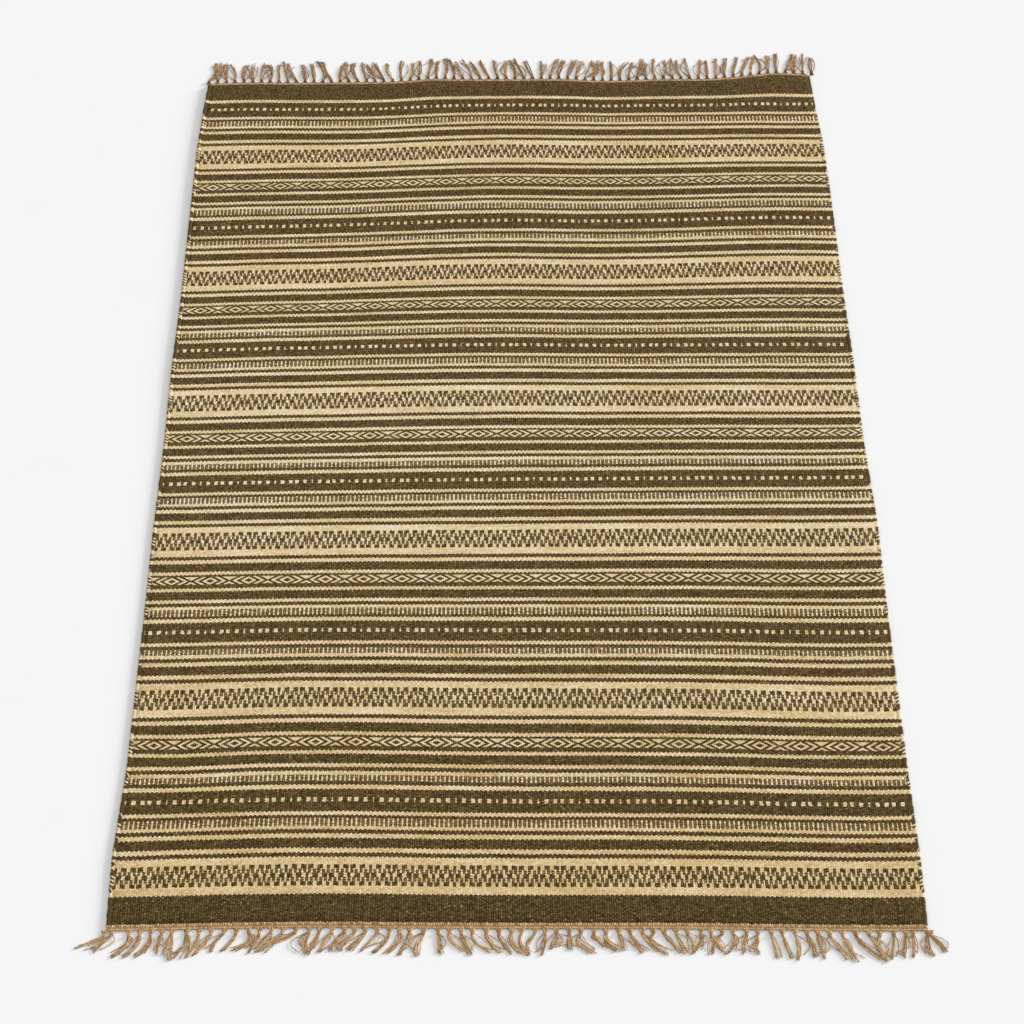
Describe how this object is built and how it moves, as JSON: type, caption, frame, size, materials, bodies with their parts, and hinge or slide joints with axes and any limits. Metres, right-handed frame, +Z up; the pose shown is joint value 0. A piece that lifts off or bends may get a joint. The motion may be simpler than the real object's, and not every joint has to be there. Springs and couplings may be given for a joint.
{
  "type": "rug",
  "caption": "Rectangular flat-woven floor rug with cross stripes and small motifs, a twined edging strip and a knotted fringe at each end.",
  "frame": {"origin": "middle of the rug's level underside, on the floor", "axes": "+X across the rug, +Y along it to the far end, +Z up out of the floor"},
  "size_m": [1.7927, 2.5807, 0.0054],
  "materials": {
    "striped_wool": "matt weft-faced weave, dark olive brown and straw stripes",
    "tan_cord_near": "matt tan twisted yarn",
    "tan_cord_far": "matt tan twisted yarn"
  },
  "bodies": {
    "root": {"woven_cloth": "striped_wool", "near_edging_fringe": "tan_cord_near", "far_edging_fringe": "tan_cord_far"}
  },
  "joints": []
}
